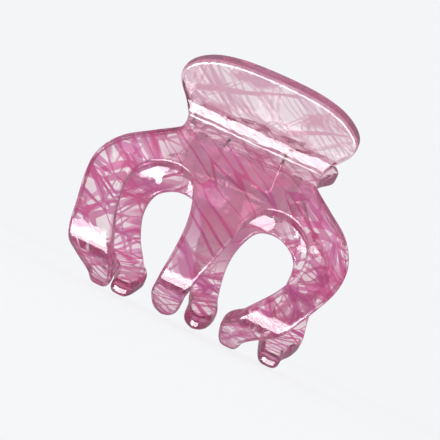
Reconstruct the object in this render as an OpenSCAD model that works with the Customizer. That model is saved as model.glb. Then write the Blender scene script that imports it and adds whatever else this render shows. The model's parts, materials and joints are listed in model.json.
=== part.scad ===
// Claw clip: two bent-sheet jaws with three fingers each, on a sprung hinge pin.
// X runs along the hinge pin, the front jaw lies on the -Y side, and Z = 0 is at the finger tips.

/* [Sheet] */
// Thickness of the acetate sheet
sheet_t = 4; // [3:0.5:5]
// Mid-sheet radius of the bulging body
body_r = 28; // [27:0.5:29]
// Mid-sheet radius of the fold between the handle and the body
fold_r = 5; // [4.5:0.5:6]
// Mid-sheet radius of the finger bend
bend_r = 4; // [3:0.5:5]
// How far the body's centre of curvature lies behind the hinge axis
body_back = 9; // [8.5:0.5:9.5]
// How far the body's widest bulge lies below the hinge axis
body_drop = 16; // [15.5:0.5:17]

/* [Angles] */
// Lean of the handle from vertical
handle_angle = 50; // [44:1:54]
// Slope of the sheet from vertical where the fold meets the body
neck_angle = 48; // [45:1:50]
// Slope of the body from vertical at the finger bend
bend_angle = 26; // [24:1:29]
// Slope of the finger tips from vertical
tip_angle = 67; // [62:1:69]

/* [Fingers] */
// Sideways sweep of the front jaw's finger tips
front_sweep = -3.5; // [-4:0.5:-3]
// Sideways sweep of the back jaw's finger tips
back_sweep = -5; // [-5.5:0.5:-4.5]
// Extra spread of the back jaw's outer finger tips
back_spread = 2.5; // [1.5:0.5:2.5]

/* [Hinge] */
// Diameter of the steel hinge pin
pin_d = 1.6; // [1.4:0.1:2]
// Radial clearance of the pin in the lugs
pin_clear = 0.05; // [0.02:0.01:0.1]
// Outer radius of a lug around the pin
lug_r = 3.3; // [3:0.1:3.5]
// Thickness of a lug along the pin
lug_t = 2.6; // [2:0.1:3]
// Distance from the middle of the clip to the outer face of the outer lugs
lug_reach = 14.6; // [13:0.1:16]
// Gap between neighbouring lugs
lug_gap = 0.3; // [0.2:0.05:0.5]
// Radius of the pin's head and of the cap on its other end
head_r = 1.7; // [1.5:0.1:2]
// Thickness of the pin's head
head_t = 0.7; // [0.5:0.1:1]
// Length of the cap pressed on the pin's plain end
cap_t = 1.6; // [1.2:0.1:2]

/* [Spring] */
// Diameter of the spring wire
wire_d = 0.8; // [0.6:0.1:0.9]
// Clearance between the coil and the pin
coil_clear = 0.15; // [0.1:0.05:0.3]
// Half of the coil's length along the pin
coil_half = 8.7; // [7:0.1:8.7]
// Clearance between a spring leg and the jaw it presses on
leg_clear = 0.1; // [0.05:0.05:0.3]
// Length of a spring leg
leg_len = 14.5; // [13:0.5:15]

/* [Colours] */
// Colour of the acetate sheet
sheet_colour = "#d77cb4";
// Colour of the glued lugs
lug_colour = "#e6b6d0";
// Colour of the steel
steel_colour = "#c9cbc6";

/* [Hidden] */
$fn = 64;
eps = 0.01;

// ---- The bent sheet, as a path down its middle: s runs down from the tightest point of the fold ----
deg = 180 / PI;
body_c = [-body_back, -body_drop];
fold_c = body_c + (body_r + fold_r) * [cos(neck_angle), sin(neck_angle)];
s_handle = -fold_r * handle_angle / deg;
s_body = fold_r * neck_angle / deg;
s_bend = s_body + body_r * (neck_angle + bend_angle) / deg;
s_tip = s_bend + bend_r * (tip_angle - bend_angle) / deg;
handle_foot = fold_c + fold_r * [-cos(handle_angle), sin(handle_angle)];
bend_c = body_c + (body_r - bend_r) * [cos(bend_angle), -sin(bend_angle)];
tip_foot = bend_c + bend_r * [cos(tip_angle), -sin(tip_angle)];

// Slope from vertical, outwards when positive, going down the sheet at path length s
function slope_at(s) =
    s < s_handle ? -handle_angle :
    s < s_body ? s / fold_r * deg :
    s < s_bend ? neck_angle - (s - s_body) / body_r * deg :
    s < s_tip ? -bend_angle - (s - s_bend) / bend_r * deg :
    -tip_angle;

// Middle of the sheet at path length s, as [distance in front of the hinge axis, height above it]
function middle_at(s) =
    s < s_handle ? handle_foot + (s_handle - s) * [sin(handle_angle), cos(handle_angle)] :
    s < s_body ? fold_c - fold_r * [cos(slope_at(s)), sin(slope_at(s))] :
    s < s_bend ? body_c + body_r * [cos(slope_at(s)), sin(slope_at(s))] :
    s < s_tip ? bend_c + bend_r * [cos(slope_at(s)), sin(slope_at(s))] :
    tip_foot - (s - s_tip) * [sin(tip_angle), cos(tip_angle)];

// ---- Outline of the flat sheet before bending: right half, clockwise, as [x, s] ----
// Handle, from the middle of its top edge round its corner
handle_edge = [[0, -22.5], [10, -22], [17.5, -20], [22.5, -16], [23, -11.5], [20, -6]];
// Neck
neck_edge = [[18.5, -1], [19.5, 4]];
// Shoulder and body
body_edge = [[24, 9.5], [29.5, 15], [32.5, 21], [32.5, 27], [30.5, 34]];
// Outer finger, down its outer side, round its tip and up its inner side
outer_finger_edge = [[28.5, 40.5], [25, 47], [22, 54], [21, 59.5], [18.5, 60.5], [16, 59.5],
                     [15, 54], [15, 47], [17.5, 40], [21, 33]];
// Round top of the gap between the fingers
gap_edge = [[23, 26], [22, 20.5], [18, 17], [13.5, 16], [9.5, 17.5], [7, 22]];
// Middle finger, down to the middle of its tip
middle_finger_edge = [[5.5, 28], [4.5, 36], [4, 44], [4, 51], [3, 57], [0, 59.5]];
half_outline = concat(handle_edge, neck_edge, body_edge, outer_finger_edge, gap_edge, middle_finger_edge);
outline = concat(half_outline,
                 [for (i = [len(half_outline) - 2:-1:1]) [-half_outline[i][0], half_outline[i][1]]]);
outline_steps = 3;
// Path lengths between which the fingers sweep sideways
sweep_from = 25;
sweep_to = 51;
// Points further out than this belong to the outer fingers
outer_finger_x = 10;

// Fraction of the full sweep reached at path length s
function ramp(s) = let (u = min(max((s - sweep_from) / (sweep_to - sweep_from), 0), 1)) u * u * (3 - 2 * u);
function side_of(x) = abs(x) < outer_finger_x ? 0 : sign(x);
function swept(p, sweep, spread) = [p[0] + (sweep + spread * side_of(p[0])) * ramp(p[1]), p[1]];

// Closed Catmull-Rom curve through the points, with `steps` stretches between neighbours
function blend(a, b, c, d, u) =
    0.5 * (2 * b + (c - a) * u + (2 * a - 5 * b + 4 * c - d) * u * u + (3 * b - a - 3 * c + d) * u * u * u);
function curve(p, steps) =
    let (n = len(p))
    [for (i = [0:n - 1], k = [0:steps - 1])
        blend(p[(i + n - 1) % n], p[i], p[(i + 1) % n], p[(i + 2) % n], k / steps)];

function sheet_edge(sweep, spread) = [for (p = curve(outline, outline_steps)) swept(p, sweep, spread)];
reach = 40;
tip_end = 60.5;
hinge_z = -(middle_at(tip_end)[1] - sheet_t / 2 * sin(tip_angle));

// Path lengths from one to another in equal steps, without the last
function split(from, to, parts) = [for (i = [0:parts - 1]) from + (to - from) * i / parts];

// The bends as short flats, and the zones of a few flats that are each cut square to the sheet
fold_zones = 4;
body_zones = 8;
bend_zones = 3;
flats_per_zone = [3, 2, 2];
flat_ends = concat([s_handle - reach], split(s_handle, s_body, fold_zones * flats_per_zone[0]),
                   split(s_body, s_bend, body_zones * flats_per_zone[1]),
                   split(s_bend, s_tip, bend_zones * flats_per_zone[2]), [s_tip, s_tip + reach]);
zone_ends = concat([s_handle - reach], split(s_handle, s_body, fold_zones),
                   split(s_body, s_bend, body_zones), split(s_bend, s_tip, bend_zones),
                   [s_tip, s_tip + reach]);
zone_lap = 0.02;
zone_margin = 0.5;
zone_half = sheet_t / 2 + zone_margin;

// ---- The jaw, drawn around the hinge axis with its outer face towards -Y ----
module along_x(length) {
    rotate([90, 0, 90]) linear_extrude(length, center = true) children();
}

// Point at path length s and at a distance outside the middle of the sheet, as [y, z]
function beside(s, out) = let (p = middle_at(s) + out * [cos(slope_at(s)), sin(slope_at(s))]) [-p[0], p[1]];

// Side view of the whole sheet
module sheet_profile() {
    last = len(flat_ends) - 1;
    polygon(concat([for (s = flat_ends) beside(s, sheet_t / 2)],
                   [for (i = [last:-1:0]) beside(flat_ends[i], -sheet_t / 2)]));
}

// The outline's prism, square to the sheet in the middle of one zone and cut to that zone
module zone_prism(edge, s_from, s_to) {
    s_mid = (s_from + s_to) / 2;
    p = beside(s_mid, 0);
    intersection() {
        along_x(2 * reach)
            polygon([beside(s_from - zone_lap, zone_half), beside(s_to + zone_lap, zone_half),
                     beside(s_to + zone_lap, -zone_half), beside(s_from - zone_lap, -zone_half)]);
        translate([0, p[0], p[1]]) rotate([90 - slope_at(s_mid), 0, 0])
            linear_extrude(4 * zone_half, center = true)
                polygon([for (q = edge) [q[0], s_mid - q[1]]]);
    }
}

module jaw(sweep, spread) {
    edge = sheet_edge(sweep, spread);
    intersection() {
        along_x(2 * reach) sheet_profile();
        for (i = [0:len(zone_ends) - 2]) zone_prism(edge, zone_ends[i], zone_ends[i + 1]);
    }
}

// ---- Hinge lugs: blocks glued inside each jaw, with a bore for the pin ----
// Path lengths between which a lug is glued to the sheet, and the sheet's middle there
lug_top_s = 0;
lug_low_s = 10.5;
lug_top = beside(lug_top_s, 0);
lug_low = beside(lug_low_s, 0);
bore_r = pin_d / 2 + pin_clear;

// Point where the line from `target` touches the lug's round end, on the side given by turn
function touch(target, turn) =
    let (a = atan2(target[1], target[0]) + turn * acos(lug_r / norm(target)))
    lug_r * [cos(a), sin(a)];

module lug_profile() {
    difference() {
        union() {
            circle(lug_r);
            polygon([touch(lug_top, -1), lug_top, lug_low, touch(lug_low, 1), [0, 0]]);
        }
        circle(bore_r);
        sheet_profile();
    }
}

// Lug centred at x along the pin
module lug(x) {
    color(lug_colour) translate([x, 0, 0]) along_x(lug_t) lug_profile();
}

outer_lug_x = lug_reach - lug_t / 2;
inner_lug_x = outer_lug_x - lug_t - lug_gap;

// ---- Spring ----
coil_in = pin_d / 2 + coil_clear;
coil_mid = coil_in + wire_d / 2;
fold_contact_r = fold_r + sheet_t / 2 + wire_d / 2 + leg_clear;
// Distance of each leg from its end of the coil, along the pin
leg_inset = 0.6;
// A leg leaves the coil along the line that just touches the inside of the fold
leg_rise = atan2(fold_c[1], fold_c[0]) + asin((fold_contact_r - coil_mid) / norm(fold_c));
leg_foot = (coil_mid + coil_clear) * [-sin(leg_rise), cos(leg_rise)];

// Leg towards the front jaw
module spring_leg() {
    translate([coil_half - leg_inset, -leg_foot[0], leg_foot[1]])
        rotate([90 - leg_rise, 0, 0]) cylinder(h = leg_len, d = wire_d);
}

module at_hinge() {
    translate([0, 0, hinge_z]) children();
}

module facing_back() {
    rotate([0, 0, 180]) children();
}

// ---- Sub-parts ----
module front_jaw() {
    color(sheet_colour) at_hinge() jaw(front_sweep, 0);
}

module back_jaw() {
    color(sheet_colour) at_hinge() facing_back() jaw(back_sweep, back_spread);
}

module front_lug_left() {
    at_hinge() lug(-outer_lug_x);
}

module front_lug_right() {
    at_hinge() lug(outer_lug_x);
}

module back_lug_left() {
    at_hinge() facing_back() lug(inner_lug_x);
}

module back_lug_right() {
    at_hinge() facing_back() lug(-inner_lug_x);
}

module hinge_pin() {
    color(steel_colour) at_hinge() rotate([0, 90, 0]) {
        translate([0, 0, -lug_reach - head_t]) cylinder(h = head_t, r = head_r);
        translate([0, 0, -lug_reach - head_t / 2])
            cylinder(h = 2 * lug_reach + head_t / 2 + cap_t / 2, d = pin_d);
    }
}

module pin_cap() {
    color(steel_colour) at_hinge() rotate([0, 90, 0]) translate([0, 0, lug_reach])
        difference() {
            cylinder(h = cap_t, r = head_r);
            translate([0, 0, -eps]) cylinder(h = cap_t / 2 + eps, d = pin_d);
        }
}

module torsion_spring() {
    color(steel_colour) at_hinge() {
        rotate([0, 90, 0]) difference() {
            cylinder(h = 2 * coil_half, r = coil_in + wire_d, center = true);
            cylinder(h = 2 * (coil_half + eps), r = coil_in, center = true);
        }
        spring_leg();
        facing_back() spring_leg();
    }
}

front_jaw();
back_jaw();
front_lug_left();
front_lug_right();
back_lug_left();
back_lug_right();
hinge_pin();
pin_cap();
torsion_spring();
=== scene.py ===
"""Looks of the claw clip: rounded, glossy, veined acetate jaws on a wound spring and a steel pin."""
import json
import math
import bpy
import bmesh
import numpy as np
from mathutils import Matrix, Vector, geometry, kdtree


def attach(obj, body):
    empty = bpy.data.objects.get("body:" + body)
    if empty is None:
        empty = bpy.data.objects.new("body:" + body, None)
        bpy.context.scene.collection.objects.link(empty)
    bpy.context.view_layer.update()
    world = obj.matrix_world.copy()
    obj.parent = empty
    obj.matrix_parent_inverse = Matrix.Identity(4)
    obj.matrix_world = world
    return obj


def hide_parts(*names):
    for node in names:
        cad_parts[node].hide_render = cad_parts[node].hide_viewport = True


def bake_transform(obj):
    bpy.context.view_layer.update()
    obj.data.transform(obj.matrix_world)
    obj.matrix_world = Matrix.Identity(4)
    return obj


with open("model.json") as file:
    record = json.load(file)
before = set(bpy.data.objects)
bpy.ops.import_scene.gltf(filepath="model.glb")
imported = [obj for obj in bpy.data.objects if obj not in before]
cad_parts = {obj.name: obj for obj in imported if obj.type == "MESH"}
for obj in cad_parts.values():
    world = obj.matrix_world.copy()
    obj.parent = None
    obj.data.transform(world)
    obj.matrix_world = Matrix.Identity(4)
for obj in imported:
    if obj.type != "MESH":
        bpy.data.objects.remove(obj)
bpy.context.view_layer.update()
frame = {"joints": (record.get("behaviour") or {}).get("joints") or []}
MM = 0.001
HINGE = Vector(frame["joints"][0]["pos_m"])

# ---- Shape of the bent sheet, in mm: the same driving dimensions as the CAD jaws ----
SHEET_T = 4.0
BODY_R, FOLD_R, BEND_R = 28.0, 5.0, 4.0
BODY_C = np.array([-9.0, -16.0])
HANDLE_ANGLE, NECK_ANGLE, BEND_ANGLE, TIP_ANGLE = (math.radians(a) for a in (50, 48, 26, 67))
FRONT_SWEEP, BACK_SWEEP, BACK_SPREAD = -3.5, -5.0, 2.5
SWEEP_FROM, SWEEP_TO, OUTER_FINGER_X = 25.0, 51.0, 10.0


def polar(r, a):
    return r * np.array([math.cos(a), math.sin(a)])


FOLD_C = BODY_C + polar(BODY_R + FOLD_R, NECK_ANGLE)
S_HANDLE = -FOLD_R * HANDLE_ANGLE
S_BODY = FOLD_R * NECK_ANGLE
S_BEND = S_BODY + BODY_R * (NECK_ANGLE + BEND_ANGLE)
S_TIP = S_BEND + BEND_R * (TIP_ANGLE - BEND_ANGLE)
HANDLE_FOOT = FOLD_C - polar(FOLD_R, -HANDLE_ANGLE)
BEND_C = BODY_C + polar(BODY_R - BEND_R, -BEND_ANGLE)
TIP_FOOT = BEND_C + polar(BEND_R, -TIP_ANGLE)

# Right half of the flat outline, clockwise from the top of the handle, as (x, path length s)
# Handle, from the middle of its top edge round its corner
HANDLE_EDGE = [(0, -22.5), (10, -22), (17.5, -20), (22.5, -16), (23, -11.5), (20, -6)]
# Neck
NECK_EDGE = [(18.5, -1), (19.5, 4)]
# Shoulder and body
BODY_EDGE = [(24, 9.5), (29.5, 15), (32.5, 21), (32.5, 27), (30.5, 34)]
# Outer finger, down its outer side, round its tip and up its inner side
OUTER_FINGER_EDGE = [(28.5, 40.5), (25, 47), (22, 54), (21, 59.5), (18.5, 60.5), (16, 59.5),
                     (15, 54), (15, 47), (17.5, 40), (21, 33)]
# Round top of the gap between the fingers
GAP_EDGE = [(23, 26), (22, 20.5), (18, 17), (13.5, 16), (9.5, 17.5), (7, 22)]
# Middle finger, down to the middle of its tip
MIDDLE_FINGER_EDGE = [(5.5, 28), (4.5, 36), (4, 44), (4, 51), (3, 57), (0, 59.5)]
HALF_OUTLINE = (HANDLE_EDGE + NECK_EDGE + BODY_EDGE + OUTER_FINGER_EDGE + GAP_EDGE
                + MIDDLE_FINGER_EDGE)


def slope_at(s):
    """Slope from vertical, outwards when positive, going down the sheet at path length s."""
    if s < S_HANDLE:
        return -HANDLE_ANGLE
    if s < S_BODY:
        return s / FOLD_R
    if s < S_BEND:
        return NECK_ANGLE - (s - S_BODY) / BODY_R
    if s < S_TIP:
        return -BEND_ANGLE - (s - S_BEND) / BEND_R
    return -TIP_ANGLE


def middle_at(s):
    """Middle of the sheet: distance in front of the hinge axis and height above it."""
    a = slope_at(s)
    if s < S_HANDLE:
        return HANDLE_FOOT + (S_HANDLE - s) * np.array([math.sin(HANDLE_ANGLE), math.cos(HANDLE_ANGLE)])
    if s < S_BODY:
        return FOLD_C - polar(FOLD_R, a)
    if s < S_BEND:
        return BODY_C + polar(BODY_R, a)
    if s < S_TIP:
        return BEND_C + polar(BEND_R, a)
    return TIP_FOOT - (s - S_TIP) * np.array([math.sin(TIP_ANGLE), math.cos(TIP_ANGLE)])


def smooth(u):
    u = np.clip(u, 0, 1)
    return u * u * (3 - 2 * u)


def closed_curve(points, steps):
    """Closed Catmull-Rom curve with a number of steps between neighbouring points."""
    p = np.array(points, float)
    a, b, c, d = np.roll(p, 1, 0), p, np.roll(p, -1, 0), np.roll(p, -2, 0)
    rows = []
    for k in range(steps):
        u = k / steps
        rows.append(0.5 * (2 * b + (c - a) * u + (2 * a - 5 * b + 4 * c - d) * u ** 2
                           + (3 * b - a - 3 * c + d) * u ** 3))
    return np.stack(rows, 1).reshape(-1, 2)


def evenly(points, spacing):
    """The closed curve again, with evenly spaced points."""
    loop = np.vstack([points, points[:1]])
    along = np.concatenate([[0], np.cumsum(np.hypot(*np.diff(loop, axis=0).T))])
    at = np.linspace(0, along[-1], int(along[-1] / spacing), endpoint=False)
    return np.stack([np.interp(at, along, loop[:, k]) for k in (0, 1)], 1)


OUTLINE_STEPS, OUTLINE_SPACING = 8, 0.5


def jaw_outline(sweep, spread):
    """The whole flat outline of one jaw, with its fingers swept sideways."""
    mirrored = [(-x, s) for x, s in HALF_OUTLINE[-2:0:-1]]
    p = closed_curve(HALF_OUTLINE + mirrored, OUTLINE_STEPS)
    side = np.where(np.abs(p[:, 0]) < OUTER_FINGER_X, 0, np.sign(p[:, 0]))
    share = smooth((p[:, 1] - SWEEP_FROM) / (SWEEP_TO - SWEEP_FROM))
    p[:, 0] += (sweep + spread * side) * share
    return evenly(p, OUTLINE_SPACING)


def inside(points, loop):
    """Even-odd test of points against a closed loop."""
    x, y = points[:, 0][:, None], points[:, 1][:, None]
    a, b = loop, np.roll(loop, -1, 0)
    crosses = (a[:, 1] > y) != (b[:, 1] > y)
    rise = np.where(b[:, 1] == a[:, 1], 1e-12, b[:, 1] - a[:, 1])
    at = a[:, 0] + (y - a[:, 1]) * (b[:, 0] - a[:, 0]) / rise
    return (np.sum(crosses & (x < at), 1) % 2) == 1


EDGE_R, TIP_EDGE_R = 1.15, 1.6
TIP_ROUND_FROM, TIP_ROUND_TO = 46.0, 57.0
TURN_SHARE, RIM_SMOOTHING = 0.8, 12
ARC_STEPS = 5
FACE_PITCH, LIP_CLEARANCE = 0.8, 0.55


def jaw_piece(name, sweep, spread, turn):
    """A jaw as one closed mesh: rounded rim, evenly meshed faces, and exact normals."""
    edge = jaw_outline(sweep, spread)
    n = len(edge)
    along = np.roll(edge, -1, 0) - np.roll(edge, 1, 0)
    along /= np.linalg.norm(along, axis=1)[:, None]
    out = np.stack([along[:, 1], -along[:, 0]], 1)
    if inside(edge[:1] + 0.05 * out[:1], edge)[0]:
        out = -out
    towards_tip = smooth((edge[:, 1] - TIP_ROUND_FROM) / (TIP_ROUND_TO - TIP_ROUND_FROM))
    r = EDGE_R + (TIP_EDGE_R - EDGE_R) * towards_tip
    # Where the outline itself turns tighter than the rim's radius, the rim is rounded less
    bend = np.linalg.norm(np.roll(out, -2, 0) - np.roll(out, 2, 0), axis=1)
    reach = np.linalg.norm(np.roll(edge, -2, 0) - np.roll(edge, 2, 0), axis=1)
    r = np.minimum(r, TURN_SHARE * reach / np.maximum(bend, 1e-6))
    for _ in range(RIM_SMOOTHING):
        r = np.minimum(r, (np.roll(r, 1) + r + np.roll(r, -1)) / 3)
    # One ring of rim points per angle, from the outer face round to the inner face
    angles = [math.pi / 2 * (1 - k / ARC_STEPS) for k in range(ARC_STEPS + 1)]
    angles += [-a for a in reversed(angles)]
    rings = []
    for a in angles:
        flat = edge - out * (r * (1 - math.cos(a)))[:, None]
        lift = math.copysign(1, a) * (SHEET_T / 2 - r * (1 - math.sin(abs(a))))
        rings.append((flat, lift, a))
    rings[ARC_STEPS] = (edge, SHEET_T / 2 - r, 0.0)
    rings[ARC_STEPS + 1] = (edge, r - SHEET_T / 2, 0.0)
    # Even points across a face, kept clear of the innermost ring
    lip = rings[0][0]
    lo, hi = lip.min(0), lip.max(0)
    columns, rows = (np.arange(lo[k], hi[k], FACE_PITCH) for k in (0, 1))
    grid = np.stack(np.meshgrid(columns, rows), -1).reshape(-1, 2)
    grid = grid[inside(grid, lip)]
    tree = kdtree.KDTree(n)
    for i, p in enumerate(lip):
        tree.insert((p[0], p[1], 0), i)
    tree.balance()
    grid = np.array([p for p in grid if tree.find((p[0], p[1], 0))[2] > LIP_CLEARANCE * FACE_PITCH])
    flat_points = [Vector(p) for p in np.vstack([lip, grid])]
    loop_edges = [(i, (i + 1) % n) for i in range(n)]
    made = geometry.delaunay_2d_cdt(flat_points, loop_edges, [], 1, 1e-6)
    if len(made[0]) != len(flat_points):
        raise RuntimeError(f"the face mesh gained or lost points: {len(made[0])} of {len(flat_points)}")
    triangles = made[2]

    verts, normals, sheet, rim, faces = [], [], [], [], []

    def add(flat, lift, outward, angle):
        x, s = flat
        a = slope_at(s)
        d, z = middle_at(s) + polar(lift, a)
        face_n = Vector((0, -math.cos(a), math.sin(a)))
        down = Vector((0, -math.sin(a), -math.cos(a)))
        plane_n = Vector((outward[0], 0, 0)) + down * outward[1]
        verts.append(turn @ Vector((x, -d, z)) * MM + HINGE)
        normals.append(turn @ (plane_n * math.cos(angle) + face_n * math.sin(angle)).normalized())
        sheet.append((x, s, lift))
        rim.append(math.cos(angle))
        return len(verts) - 1

    ids = []
    for flat, lift, a in rings:
        lifts = np.broadcast_to(lift, (n,))
        ids.append([add(flat[i], lifts[i], out[i], a) for i in range(n)])
    for upper, lower in zip(ids, ids[1:]):
        for i in range(n):
            j = (i + 1) % n
            faces.append((upper[i], upper[j], lower[j], lower[i]))
    for ring, lift, a in ((ids[0], SHEET_T / 2, math.pi / 2), (ids[-1], -SHEET_T / 2, -math.pi / 2)):
        index = ring + [add(p, lift, (0, 0), a) for p in grid]
        faces += [tuple(index[k] for k in t) for t in triangles]

    mesh = bpy.data.meshes.new(name)
    mesh.from_pydata(verts, [], faces)
    piece = bpy.data.objects.new(name, mesh)
    bpy.context.collection.objects.link(piece)
    bm = bmesh.new()
    bm.from_mesh(mesh)
    bmesh.ops.recalc_face_normals(bm, faces=bm.faces)
    bm.to_mesh(mesh)
    bm.free()
    mesh.shade_smooth()
    mesh.normals_split_custom_set_from_vertices([v[:] for v in normals])
    mesh.attributes.new("sheet", "FLOAT_VECTOR", "POINT").data.foreach_set("vector", np.ravel(sheet))
    # rim: how far each point faces sideways, 1 on the edge wall; the material uses it to paint shade on the
    # edge
    mesh.attributes.new("rim", "FLOAT", "POINT").data.foreach_set("value", np.array(rim))
    return piece


# ---- Materials ----
class Nodes:
    """Short calls for building the nodes of a material or a world."""

    def __init__(self, owner):
        owner.use_nodes = True
        self.owner = owner
        self.tree = owner.node_tree
        self.tree.nodes.clear()

    def node(self, kind, inputs=(), **settings):
        made = self.tree.nodes.new("ShaderNode" + kind)
        for key, value in settings.items():
            setattr(made, key, value)
        for key, value in dict(inputs).items():
            socket = made.inputs[key]
            if isinstance(value, bpy.types.NodeSocket):
                self.tree.links.new(value, socket)
            else:
                socket.default_value = value
        return made

    def math(self, operation, *values, clamp=False):
        made = self.node("Math", {i: v for i, v in enumerate(values)}, operation=operation, use_clamp=clamp)
        return made.outputs[0]

    def dot(self, a, b):
        return self.node("VectorMath", {0: a, 1: b}, operation="DOT_PRODUCT").outputs["Value"]

    def noise(self, place, scale, detail):
        settings = {"Vector": place, "Scale": scale, "Detail": detail}
        return self.node("TexNoise", settings, noise_dimensions="2D")

    def along(self, place, angle, stretch, seed):
        """Flat coordinates that draw what they are given stretched along the angle in degrees."""
        made = self.node("Mapping", {"Vector": place, "Rotation": (0, 0, math.radians(angle)),
                                     "Scale": (stretch, 1 / stretch, 1), "Location": (seed, 0, 0)},
                         vector_type="TEXTURE")
        return made.outputs[0]

    def ramp(self, value, low, high, to_low=0.0, to_high=1.0):
        made = self.node("MapRange", {0: value, 1: low, 2: high, 3: to_low, 4: to_high},
                         interpolation_type="SMOOTHSTEP")
        return made.outputs[0]

    def mix(self, share, a, b):
        made = self.node("Mix", {0: share}, data_type="RGBA")
        for index, value in ((6, a), (7, b)):
            if isinstance(value, bpy.types.NodeSocket):
                self.tree.links.new(value, made.inputs[index])
            else:
                made.inputs[index].default_value = value
        return made.outputs[2]


def srgb(text, alpha=1.0):
    """Linear colour from a hex colour."""
    parts = [int(text[i:i + 2], 16) / 255 for i in (1, 3, 5)]
    return tuple(c / 12.92 if c <= 0.04045 else ((c + 0.055) / 1.055) ** 2.4 for c in parts) + (alpha,)


VEIN_ROSE, VEIN_MAUVE = "#d04a8e", "#c65399"
CELL_CLEAR = "#f7f0f0"
FLOW_ANGLE = 36
ABSORBED, ABSORPTION = (0.86, 0.36, 0.60, 1.0), 40.0
FACING_FRONT, FACING_BACK = Matrix.Identity(3), Matrix.Rotation(math.pi, 3, "Z")


def veins(m, place, angle, stretch, scale, width, seed):
    """Network of veins: the edges of stretched cells, as a mask with a clean border."""
    turned = m.along(place, angle, stretch, seed)
    cells = m.node("TexVoronoi", {"Vector": turned, "Scale": scale, "Randomness": 1.0},
                   feature="DISTANCE_TO_EDGE", voronoi_dimensions="2D")
    wobble = m.noise(turned, 0.9, 1.0)
    half = m.ramp(wobble.outputs[0], 0.35, 0.68, width[0], width[1])
    return m.ramp(m.math("DIVIDE", cells.outputs[0], half), 0.75, 1.05, 1.0, 0.0)


def acetate(name, seed, clarity):
    """Translucent acetate: pale cells between crisp mauve veins that run through the sheet, and painted
    shade on the sheet's edge wall.
    """
    m = Nodes(bpy.data.materials.new(name))
    sheet = m.node("Attribute", attribute_name="sheet").outputs["Vector"]
    # The pattern in units of 10 mm, leaning a little as it goes through the sheet
    across = m.dot(sheet, (0.1, 0, 0.035))
    down = m.dot(sheet, (0, 0.1, 0.025))
    flat = m.node("CombineXYZ", {0: across, 1: down, 2: 0.0})
    flat = m.node("VectorMath", {0: flat.outputs[0], 1: (seed, 2 * seed, 0)}, operation="ADD").outputs[0]
    warp = m.noise(flat, 0.6, 1.0)
    warp = m.node("VectorMath", {0: warp.outputs["Color"], "Scale": 0.35}, operation="SCALE")
    place = m.node("VectorMath", {0: flat, 1: warp.outputs[0]}, operation="ADD").outputs[0]
    long = veins(m, place, 10, 1.5, 0.7, (0.02, 0.065), 3.0)
    cells = veins(m, place, -55, 1.3, 0.7, (0.02, 0.06), 8.0)
    bands = veins(m, place, FLOW_ANGLE, 2.2, 1.2, (0.03, 0.12), 21.0)
    streak_noise = m.noise(m.along(place, FLOW_ANGLE, 2.4, 5.0), 0.9, 1.0)
    streaks = m.ramp(streak_noise.outputs[0], 0.58, 0.66)
    cloud = m.noise(flat, 0.9, 2.0).outputs[0]
    parts = m.node("SeparateXYZ", {0: sheet}).outputs
    # The middle of the body is milkier, and the handle paler
    middle = m.ramp(m.math("ABSOLUTE", parts[0]), 10.0, 21.0, 1.0, 0.0)
    middle = m.math("MULTIPLY", middle, m.ramp(parts[1], 0.0, 6.0))
    middle = m.math("MULTIPLY", middle, m.ramp(parts[1], 22.0, 40.0, 1.0, 0.0))
    on_body = m.ramp(parts[1], -6.0, 5.0, 0.52, 1.0)
    haze = m.math("ADD", m.ramp(cloud, 0.45, 0.7, 0.0, 0.12), m.math("MULTIPLY", middle, 0.64))
    tint = haze
    off_middle = m.math("SUBTRACT", 1.0, m.math("MULTIPLY", middle, 0.6))
    for mask, share in ((long, m.math("MULTIPLY", off_middle, 0.9)),
                        (cells, m.math("MULTIPLY", off_middle, 0.75)),
                        (bands, 0.9), (streaks, 0.75)):
        tint = m.math("MAXIMUM", tint, m.math("MULTIPLY", mask, share))
    tint = m.math("MULTIPLY", tint, on_body)
    # Painted shade: the edge wall is painted deeper pink and less clear, for the deeper colour that light
    # takes on along its long path through the edge
    rim = m.node("Attribute", attribute_name="rim").outputs["Fac"]
    tint = m.math("MAXIMUM", tint, m.math("MULTIPLY", m.ramp(rim, 0.3, 0.9), 0.7))
    hue = m.noise(flat, 1.4, 1.0).outputs[0]
    vein_colour = m.mix(m.ramp(hue, 0.38, 0.62), srgb(VEIN_ROSE), srgb(VEIN_MAUVE))
    colour = m.mix(tint, srgb(CELL_CLEAR), vein_colour)
    clear = m.ramp(tint, 0.0, 0.9, clarity, clarity - 0.3)
    clear = m.math("SUBTRACT", clear, m.math("MULTIPLY", middle, 0.12))
    ripple = m.noise(flat, 1.3, 2.0)
    # A shallow hollow above the fold, with a wavy upper edge
    wave = m.math("MULTIPLY", ripple.outputs[0], 3.0)
    cove = m.math("DIVIDE", m.math("ADD", m.math("ADD", parts[1], wave), 5.5), 4.0, clamp=True)
    hollow = m.node("Bump", {"Height": cove, "Strength": 1.0, "Distance": 0.001})
    bump = m.node("Bump", {"Height": ripple.outputs[0], "Strength": 0.2, "Distance": 0.0012,
                           "Normal": hollow.outputs[0]})
    polish = m.noise(flat, 9.0, 3.0)
    gloss = m.ramp(polish.outputs[0], 0.3, 0.8, 0.03, 0.08)
    surface = m.node("BsdfPrincipled", {"Base Color": colour, "Roughness": gloss, "IOR": 1.49,
                                        "Transmission Weight": clear, "Normal": bump.outputs[0]})
    see = m.node("BsdfTransparent", {"Color": colour})
    ray = m.node("LightPath")
    mixed = m.node("MixShader", {0: ray.outputs["Is Shadow Ray"], 1: surface.outputs[0], 2: see.outputs[0]})
    body = m.node("VolumeAbsorption", {"Color": ABSORBED, "Density": ABSORPTION})
    m.node("OutputMaterial", {"Surface": mixed.outputs[0], "Volume": body.outputs[0]})
    return m.owner


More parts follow.
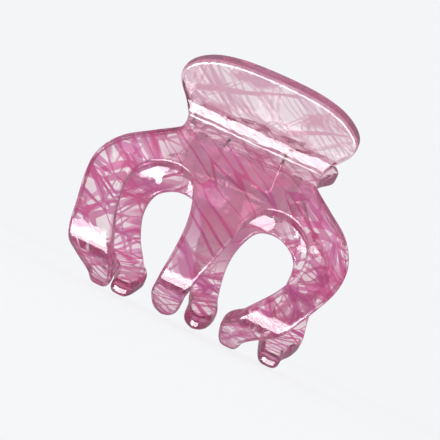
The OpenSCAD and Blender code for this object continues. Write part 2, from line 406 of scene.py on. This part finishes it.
def steel(name, colour, rough, grain):
    """Drawn steel: fine lines round the part, and a slight unevenness of tone."""
    m = Nodes(bpy.data.materials.new(name))
    where = m.node("TexCoord")
    lines = m.node("Mapping", {"Vector": where.outputs["Object"], "Scale": grain})
    scratch = m.node("TexNoise", {"Vector": lines.outputs[0], "Scale": 1.0, "Detail": 3.0})
    tone = m.mix(scratch.outputs[0], srgb(colour[0]), srgb(colour[1]))
    gloss = m.ramp(scratch.outputs[0], 0.3, 0.7, rough * 0.7, rough * 1.4)
    bump = m.node("Bump", {"Height": scratch.outputs[0], "Strength": 0.15, "Distance": 0.0001})
    surface = m.node("BsdfPrincipled", {"Base Color": tone, "Metallic": 1.0, "Roughness": gloss,
                                        "Normal": bump.outputs[0]})
    m.node("OutputMaterial", {"Surface": surface.outputs[0]})
    return m.owner


# ---- Hinge ----
LUG_R, LUG_T, LUG_REACH, LUG_GAP = 3.3, 2.6, 14.6, 0.3
LUG_TOP, LUG_LOW = middle_at(0.0), middle_at(10.5)
PIN_R, BORE_R, HEAD_R, HEAD_T, CAP_T = 0.8, 0.85, 1.7, 0.7, 1.6
WIRE_R, COIL_R, COIL_HALF, COIL_TURNS = 0.4, 1.35, 8.7, 20
LEG_INSET, LEG_LEN, LEG_CLEAR = 0.6, 14.5, 0.1
OUTER_LUG_X = LUG_REACH - LUG_T / 2
INNER_LUG_X = OUTER_LUG_X - LUG_T - LUG_GAP
INNER_FACE = -SHEET_T / 2
SHARP_ANGLE, LUG_BEVEL = math.radians(40), 0.22
PIN_BEVEL, CAP_ROUND, CAP_BEVEL = 0.25, 0.9, 0.2


def new_piece(name, bm):
    """An object of a bmesh whose points are in mm about the hinge axis."""
    bmesh.ops.recalc_face_normals(bm, faces=bm.faces)
    mesh = bpy.data.meshes.new(name)
    bm.to_mesh(mesh)
    bm.free()
    mesh.transform(Matrix.Translation(HINGE) @ Matrix.Scale(MM, 4))
    mesh.shade_smooth()
    piece = bpy.data.objects.new(name, mesh)
    bpy.context.collection.objects.link(piece)
    return piece


def lift_of(point):
    """Distance of a side-view point outside the middle of the sheet, and the path length there."""
    path = np.linspace(S_HANDLE, S_BEND, 400)
    gaps = [np.linalg.norm(point - middle_at(s)) for s in path]
    s = path[int(np.argmin(gaps))]
    a = slope_at(s)
    return float((point - middle_at(s)) @ np.array([math.cos(a), math.sin(a)])), s


def meets_sheet(start, end):
    """Path length where a straight lug side reaches the inner face of the sheet."""
    low, high = 0.0, 1.0
    for _ in range(30):
        middle = (low + high) / 2
        if lift_of(start + middle * (end - start))[0] < INNER_FACE:
            low = middle
        else:
            high = middle
    return lift_of(start + low * (end - start))[1]


def touch(target, turn):
    """Angle at which the line from target touches the lug's round end."""
    return math.atan2(target[1], target[0]) + turn * math.acos(LUG_R / np.linalg.norm(target))


def lug_loops():
    """Side view of a lug: its outline against the sheet, and its bore."""
    top, low = touch(LUG_TOP, 1), touch(LUG_LOW, -1)
    s_top = meets_sheet(polar(LUG_R, top), LUG_TOP)
    s_low = meets_sheet(polar(LUG_R, low), LUG_LOW)
    inner = [middle_at(s) + polar(INNER_FACE, slope_at(s)) for s in np.linspace(s_low, s_top, 9)]
    round_end = [polar(LUG_R, a) for a in np.linspace(top, low + 2 * math.pi, 28)]
    bore = [polar(BORE_R, a) for a in np.linspace(0, 2 * math.pi, 24, endpoint=False)]
    return inner + round_end, bore


LUG_OUTLINE, LUG_BORE = lug_loops()


def lug_piece(name, x, turn):
    """A bored block with softened edges, glued to the inner face of a jaw."""
    points = LUG_OUTLINE + LUG_BORE
    n, total = len(LUG_OUTLINE), len(LUG_OUTLINE) + len(LUG_BORE)
    rings = [[(i, (i + 1) % n) for i in range(n)],
             [(n + i, n + (i + 1) % (total - n)) for i in range(total - n)]]
    cut = geometry.delaunay_2d_cdt([Vector(p) for p in points], rings[0] + rings[1], [], 1, 1e-6)
    faces = [t for t in cut[2] if np.linalg.norm(np.mean([cut[0][k] for k in t], 0)) > BORE_R * 0.98]
    bm = bmesh.new()
    sides = []
    for offset in (-LUG_T / 2, LUG_T / 2):
        verts = [bm.verts.new(turn @ Vector((x + offset, -p[0], p[1]))) for p in cut[0]]
        for t in faces:
            bm.faces.new([verts[k] for k in t])
        sides.append(verts)
    for ring in rings:
        for i, j in ring:
            bm.faces.new((sides[0][i], sides[0][j], sides[1][j], sides[1][i]))
    bmesh.ops.recalc_face_normals(bm, faces=bm.faces)
    sharp = [e for e in bm.edges if e.calc_face_angle(0) > SHARP_ANGLE]
    bmesh.ops.bevel(bm, geom=sharp, offset=LUG_BEVEL, segments=3, profile=0.5, affect="EDGES")
    piece = new_piece(name, bm)
    block = [((v.co - HINGE) / MM)[:] for v in piece.data.vertices]
    piece.data.attributes.new("sheet", "FLOAT_VECTOR", "POINT").data.foreach_set("vector", np.ravel(block))
    return piece


def revolved(name, profile, steps=40):
    """A closed turned part about the hinge axis, from its (x, radius) half-profile."""
    bm = bmesh.new()
    rings = []
    for x, r in profile:
        if r == 0:
            rings.append([bm.verts.new((x, 0, 0))] * steps)
            continue
        turns = [2 * math.pi * k / steps for k in range(steps)]
        rings.append([bm.verts.new((x, r * math.cos(a), r * math.sin(a))) for a in turns])
    for one, two in zip(rings, rings[1:]):
        for k in range(steps):
            corners = [one[k], one[(k + 1) % steps], two[(k + 1) % steps], two[k]]
            bm.faces.new(list(dict.fromkeys(corners)))
    return new_piece(name, bm)


def arc(x, r, radius_x, radius_r, start, end, steps=6):
    """Quarter-round corner of a half-profile, as (x, radius) points."""
    angles = [start + (end - start) * k / steps for k in range(steps + 1)]
    return [(x + radius_x * math.cos(a), max(0.0, r + radius_r * math.sin(a))) for a in angles]


def wire_tube(name, path, radius, steps=10):
    """A round wire along a path, with closed rounded ends."""
    bm = bmesh.new()
    path = [np.array(p, float) for p in path]
    tangents = [path[min(i + 1, len(path) - 1)] - path[max(i - 1, 0)] for i in range(len(path))]
    tangents = [t / np.linalg.norm(t) for t in tangents]
    side = np.cross(tangents[0], (1, 0, 0))
    rings = []

    def ring(centre, tangent, size):
        up = np.cross(tangent, side)
        turns = [2 * math.pi * k / steps for k in range(steps)]
        rings.append([bm.verts.new(centre + size * (math.cos(a) * side + math.sin(a) * up)) for a in turns])

    for i, (centre, tangent) in enumerate(zip(path, tangents)):
        side = side - tangent * (side @ tangent)
        side = side / np.linalg.norm(side)
        if i == 0:
            ring(centre, tangent, radius * 0.6)
            ring(centre + tangent * radius * 0.3, tangent, radius)
        elif i == len(path) - 1:
            ring(centre - tangent * radius * 0.3, tangent, radius)
            ring(centre, tangent, radius * 0.6)
        else:
            ring(centre, tangent, radius)
    for one, two in zip(rings, rings[1:]):
        for k in range(steps):
            bm.faces.new((one[k], one[(k + 1) % steps], two[(k + 1) % steps], two[k]))
    bm.faces.new(rings[0])
    bm.faces.new(rings[-1])
    return new_piece(name, bm)


def spring_path():
    """From the tip of the back leg, round the coil's turns, to the tip of the front leg."""
    contact = FOLD_R + SHEET_T / 2 + WIRE_R + LEG_CLEAR
    far = float(np.linalg.norm(FOLD_C))
    rise = math.atan2(FOLD_C[1], FOLD_C[0]) + math.asin((contact - COIL_R) / far)
    leg_x = COIL_HALF - LEG_INSET
    start, end = math.pi / 2 - rise, math.pi / 2 + rise - 2 * math.pi * COIL_TURNS
    steps = 20 * COIL_TURNS
    coil = []
    for k in range(steps + 1):
        a = start + (end - start) * k / steps
        coil.append((-leg_x + 2 * leg_x * k / steps, -COIL_R * math.cos(a), COIL_R * math.sin(a)))
    reach = [LEG_LEN * k / 6 for k in range(1, 7)]
    tip = [(coil[-1][0], coil[-1][1] - u * math.cos(rise), coil[-1][2] + u * math.sin(rise)) for u in reach]
    tail = [(coil[0][0], coil[0][1] + u * math.cos(rise), coil[0][2] + u * math.sin(rise)) for u in reach]
    return tail[::-1] + coil + tip


QUARTER = math.pi / 2
PIN_PROFILE = arc(-LUG_REACH, 0, -HEAD_T, HEAD_R, QUARTER, 0)[::-1] + [(-LUG_REACH, PIN_R)]
PIN_END = LUG_REACH + CAP_T / 2
PIN_PROFILE += arc(PIN_END - PIN_BEVEL, PIN_R - PIN_BEVEL, PIN_BEVEL, PIN_BEVEL, QUARTER, 0, 3)
PIN_PROFILE += [(PIN_END, 0)]
CAP_END = LUG_REACH + CAP_T
CAP_PROFILE = [(PIN_END, 0), (PIN_END, PIN_R), (LUG_REACH, PIN_R), (LUG_REACH, HEAD_R - CAP_BEVEL)]
CAP_PROFILE += [(LUG_REACH + CAP_BEVEL, HEAD_R)]
CAP_PROFILE += arc(CAP_END - CAP_ROUND, HEAD_R - CAP_ROUND, CAP_ROUND, CAP_ROUND, QUARTER, 0)
CAP_PROFILE += [(CAP_END, 0)]


# ---- Jaws ----
front = jaw_piece("front_jaw_sheet", FRONT_SWEEP, 0.0, FACING_FRONT)
back = jaw_piece("back_jaw_sheet", BACK_SWEEP, BACK_SPREAD, FACING_BACK)
for piece, body, node, seed in ((front, "front", "front_jaw", 0.0), (back, "back", "back_jaw", 13.0)):
    piece.data.materials.append(acetate(node + "_acetate", seed, 0.98))
    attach(piece, body)
    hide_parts(node)

# ---- Lugs ----
LUG_ACETATE = acetate("lug_acetate", 5.0, 0.7)
for node, body, x, turn in (("front_lug_left", "front", -OUTER_LUG_X, FACING_FRONT),
                            ("front_lug_right", "front", OUTER_LUG_X, FACING_FRONT),
                            ("back_lug_left", "back", INNER_LUG_X, FACING_BACK),
                            ("back_lug_right", "back", -INNER_LUG_X, FACING_BACK)):
    lug = lug_piece(node + "_block", x, turn)
    lug.data.materials.append(LUG_ACETATE)
    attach(lug, body)
    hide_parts(node)

# ---- Pin and spring ----
PIN_STEEL = steel("pin_steel", ("#c9cac6", "#a9aaa6"), 0.22, (900, 120, 120))
SPRING_STEEL = steel("spring_steel", ("#b9b7ad", "#8f8d84"), 0.26, (300, 900, 900))
pin = revolved("hinge_pin_turned", PIN_PROFILE)
cap = revolved("pin_cap_turned", CAP_PROFILE)
for piece, node in ((pin, "hinge_pin"), (cap, "pin_cap")):
    piece.data.materials.append(PIN_STEEL)
    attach(piece, "front")
    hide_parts(node)
spring = wire_tube("torsion_spring_wire", spring_path(), WIRE_R)
spring.data.materials.append(SPRING_STEEL)
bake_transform(spring)
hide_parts("torsion_spring")

# ---- Stage ----
BACKDROP = srgb("#f4f5f7")
FLOOR_GLOW = 0.88


def floor_material():
    """Pale, evenly lit floor: mostly its own glow, so that only a faint shadow shows."""
    m = Nodes(bpy.data.materials.new("floor_paper"))
    where = m.node("TexCoord")
    grain = m.node("TexNoise", {"Vector": where.outputs["Object"], "Scale": 400.0, "Detail": 2.0})
    tone = m.mix(grain.outputs[0], srgb("#f1f2f4"), srgb("#f4f5f7"))
    paper = m.node("BsdfDiffuse", {"Color": tone})
    glow = m.node("Emission", {"Color": BACKDROP, "Strength": 1.0})
    mixed = m.node("MixShader", {0: FLOOR_GLOW, 1: paper.outputs[0], 2: glow.outputs[0]})
    m.node("OutputMaterial", {"Surface": mixed.outputs[0]})
    return m.owner


FLOOR_SIZE, FLOOR_DROP, FLOOR_CELLS = 3.0, 0.0002, 8
bpy.ops.mesh.primitive_grid_add(x_subdivisions=FLOOR_CELLS, y_subdivisions=FLOOR_CELLS,
                                size=FLOOR_SIZE, location=(0, 0, -FLOOR_DROP))
floor = bpy.context.object
floor.name = "floor"
floor.data.materials.append(floor_material())
floor.visible_glossy = False


# Each soft box: azimuth from straight in front, height, half width, half height (degrees), brightness
SOFT_BOXES = [(0, -58, 50, 17, 28), (-31, -46, 14, 10, 24)]
SOFT_EDGE, ROOM_LEVEL = 0.82, 0.5


def studio_world():
    """An even pale room, which gloss sees as a greyer room with two soft boxes in it."""
    m = Nodes(bpy.data.worlds.new("studio"))
    direction = m.node("TexCoord").outputs["Generated"]
    lit = None
    for box_azimuth, box_height, half_width, half_height, power in SOFT_BOXES:
        a, h = math.radians(box_azimuth), math.radians(box_height)
        ahead = Vector((math.sin(a) * math.cos(h), -math.cos(a) * math.cos(h), math.sin(h)))
        right = Vector((math.cos(a), math.sin(a), 0))
        up = right.cross(ahead)
        facing, across, rise = (m.dot(direction, v[:]) for v in (ahead, right, up))
        if up.z < 0:
            rise = m.math("MULTIPLY", rise, -1.0)
        across = m.math("ABSOLUTE", m.math("DIVIDE", across, facing))
        rise = m.math("ABSOLUTE", m.math("DIVIDE", rise, facing))
        wide, tall = math.tan(math.radians(half_width)), math.tan(math.radians(half_height))
        shape = m.math("MULTIPLY", m.ramp(across, SOFT_EDGE * wide, wide, 1.0, 0.0),
                       m.ramp(rise, SOFT_EDGE * tall, tall, 1.0, 0.0))
        shape = m.math("MULTIPLY", shape, m.math("GREATER_THAN", facing, 0.0))
        shape = m.math("MULTIPLY", shape, power)
        lit = shape if lit is None else m.math("ADD", lit, shape)
    glow = m.math("ADD", lit, ROOM_LEVEL)
    seen_in_gloss = m.node("Background", {"Color": srgb("#c9c5c8"), "Strength": glow})
    plain = m.node("Background", {"Color": BACKDROP, "Strength": 1.0})
    ray = m.node("LightPath")
    through = m.math("SUBTRACT", 1.0, ray.outputs["Is Transmission Ray"])
    reflected = m.math("MULTIPLY", ray.outputs["Is Glossy Ray"], through)
    mixed = m.node("MixShader", {0: reflected, 1: plain.outputs[0], 2: seen_in_gloss.outputs[0]})
    m.node("OutputWorld", {"Surface": mixed.outputs[0]})
    return m.owner


bpy.context.scene.world = studio_world()
bpy.context.scene.world.cycles.sampling_method = "NONE"


def area_light(name, place, aim, size, power):
    data = bpy.data.lights.new(name, "AREA")
    data.shape = "RECTANGLE"
    data.size, data.size_y = size
    data.energy = power
    lamp = bpy.data.objects.new(name, data)
    lamp.location = place
    lamp.rotation_euler = (Vector(aim) - Vector(place)).to_track_quat("-Z", "Y").to_euler()
    bpy.context.collection.objects.link(lamp)
    lamp.visible_glossy = False
    return lamp


CENTRE = Vector((0, 0, 0.035))
area_light("key", (-0.25, -0.35, 0.5), CENTRE, (0.3, 0.4), 1.2)

# ---- Camera ----
CAMERA_AT = Vector((14, -180, -34)) * MM + HINGE
CAMERA_AIM = Vector((-0.5, 0, -9.5)) * MM + HINGE
CAMERA_ROLL = math.radians(25.7)
camera_data = bpy.data.cameras.new("camera")
camera_data.sensor_width = 36
camera_data.lens = 57
camera_data.clip_start = 0.01
camera = bpy.data.objects.new("camera", camera_data)
bpy.context.collection.objects.link(camera)
look = (CAMERA_AIM - CAMERA_AT).to_track_quat("-Z", "Y").to_matrix()
camera.matrix_world = Matrix.Translation(CAMERA_AT) @ (look @ Matrix.Rotation(CAMERA_ROLL, 3, "Z")).to_4x4()
bpy.context.scene.camera = camera
bpy.context.scene.view_settings.view_transform = "Standard"
